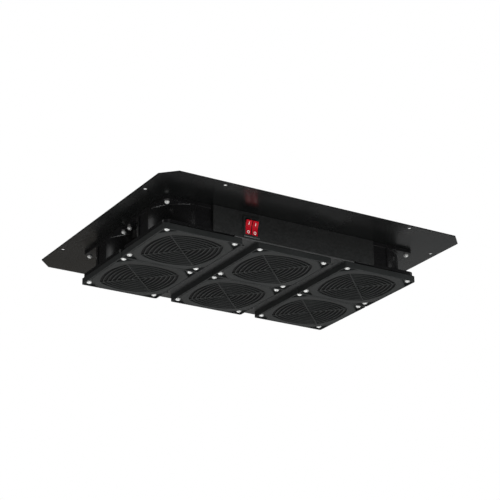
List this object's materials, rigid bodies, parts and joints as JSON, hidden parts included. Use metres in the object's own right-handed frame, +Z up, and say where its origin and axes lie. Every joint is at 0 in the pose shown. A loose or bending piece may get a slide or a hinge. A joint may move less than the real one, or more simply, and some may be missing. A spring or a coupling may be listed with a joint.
{
  "type": "rack fan tray",
  "caption": "Flat roof plate for a server rack carrying two rows of axial fans with clip-on grille guards, a folded wiring cover and a double rocker switch.",
  "frame": {"origin": "centre of the six fans in plan, on the outer faces of the guard covers", "axes": "+Z up, the way the air is blown, out through the plate; -Y towards the switch panel; +X to the right as seen facing the switch"},
  "size_m": [0.488, 0.388, 0.0518],
  "materials": {
    "plate_coat": "satin black powder coat",
    "cover_coat": "fine textured black powder coat",
    "cast_frame": "die-cast, black paint, semi-gloss",
    "impeller_plastic": "moulded black",
    "guard_plastic": "moulded dark grey-black",
    "foam": "open-cell filter foam, black",
    "steel": "ground steel",
    "lamination": "laminated steel with varnish",
    "zinc": "bright zinc plating",
    "switch_black": "moulded black, semi-gloss",
    "rocker_red": "translucent red, polished",
    "brass": "stamped, tinned",
    "nylon_black": "moulded black nylon",
    "terminal_nylon": "moulded natural nylon"
  },
  "bodies": {
    "tray": {"mounting_plate": "plate_coat", "wiring_cover": "cover_coat", "fan_frame_front_left": "cast_frame", "stator_front_left": "lamination", "guard_base_front_left": "guard_plastic", "filter_foam_front_left": "foam", "guard_cover_front_left": "guard_plastic", "fan_frame_front_middle": "cast_frame", "stator_front_middle": "lamination", "guard_base_front_middle": "guard_plastic", "filter_foam_front_middle": "foam", "guard_cover_front_middle": "guard_plastic", "fan_frame_front_right": "cast_frame", "stator_front_right": "lamination", "guard_base_front_right": "guard_plastic", "filter_foam_front_right": "foam", "guard_cover_front_right": "guard_plastic", "fan_frame_rear_left": "cast_frame", "stator_rear_left": "lamination", "guard_base_rear_left": "guard_plastic", "filter_foam_rear_left": "foam", "guard_cover_rear_left": "guard_plastic", "fan_frame_rear_middle": "cast_frame", "stator_rear_middle": "lamination", "guard_base_rear_middle": "guard_plastic", "filter_foam_rear_middle": "foam", "guard_cover_rear_middle": "guard_plastic", "fan_frame_rear_right": "cast_frame", "stator_rear_right": "lamination", "guard_base_rear_right": "guard_plastic", "filter_foam_rear_right": "foam", "guard_cover_rear_right": "guard_plastic", "ball_bearings": "steel", "guard_screws": "zinc", "plate_screws": "zinc", "plate_nuts": "zinc", "spacer_washers": "zinc", "fan_terminal_blocks": "nylon_black", "switch_housing": "switch_black", "switch_terminals": "brass", "cable_gland": "nylon_black", "gland_locknut": "nylon_black", "terminal_block": "terminal_nylon", "terminal_block_screws": "zinc"},
    "impeller_front_left_body": {"impeller_front_left": "impeller_plastic", "shaft_front_left": "steel"},
    "impeller_front_middle_body": {"impeller_front_middle": "impeller_plastic", "shaft_front_middle": "steel"},
    "impeller_front_right_body": {"impeller_front_right": "impeller_plastic", "shaft_front_right": "steel"},
    "impeller_rear_left_body": {"impeller_rear_left": "impeller_plastic", "shaft_rear_left": "steel"},
    "impeller_rear_middle_body": {"impeller_rear_middle": "impeller_plastic", "shaft_rear_middle": "steel"},
    "impeller_rear_right_body": {"impeller_rear_right": "impeller_plastic", "shaft_rear_right": "steel"},
    "rocker_left_body": {"rocker_left": "rocker_red"},
    "rocker_right_body": {"rocker_right": "rocker_red"}
  },
  "joints": [
    {"name": "spin_front_left", "type": "hinge", "parent": "tray", "child": "impeller_front_left_body", "pos_m": [-0.1448, -0.06085, 0.028], "axis": [0, 0, 1], "continuous": true},
    {"name": "spin_front_middle", "type": "hinge", "parent": "tray", "child": "impeller_front_middle_body", "pos_m": [0, -0.06085, 0.028], "axis": [0, 0, 1], "continuous": true},
    {"name": "spin_front_right", "type": "hinge", "parent": "tray", "child": "impeller_front_right_body", "pos_m": [0.1448, -0.06085, 0.028], "axis": [0, 0, 1], "continuous": true},
    {"name": "spin_rear_left", "type": "hinge", "parent": "tray", "child": "impeller_rear_left_body", "pos_m": [-0.1448, 0.06085, 0.028], "axis": [0, 0, 1], "continuous": true},
    {"name": "spin_rear_middle", "type": "hinge", "parent": "tray", "child": "impeller_rear_middle_body", "pos_m": [0, 0.06085, 0.028], "axis": [0, 0, 1], "continuous": true},
    {"name": "spin_rear_right", "type": "hinge", "parent": "tray", "child": "impeller_rear_right_body", "pos_m": [0.1448, 0.06085, 0.028], "axis": [0, 0, 1], "continuous": true},
    {"name": "rock_left", "type": "hinge", "parent": "tray", "child": "rocker_left_body", "pos_m": [-0.0776, -0.1197, 0.02645], "axis": [1, 0, 0], "range_deg": [-22, 0]},
    {"name": "rock_right", "type": "hinge", "parent": "tray", "child": "rocker_right_body", "pos_m": [-0.0672, -0.1197, 0.02645], "axis": [1, 0, 0], "range_deg": [-22, 0]}
  ]
}
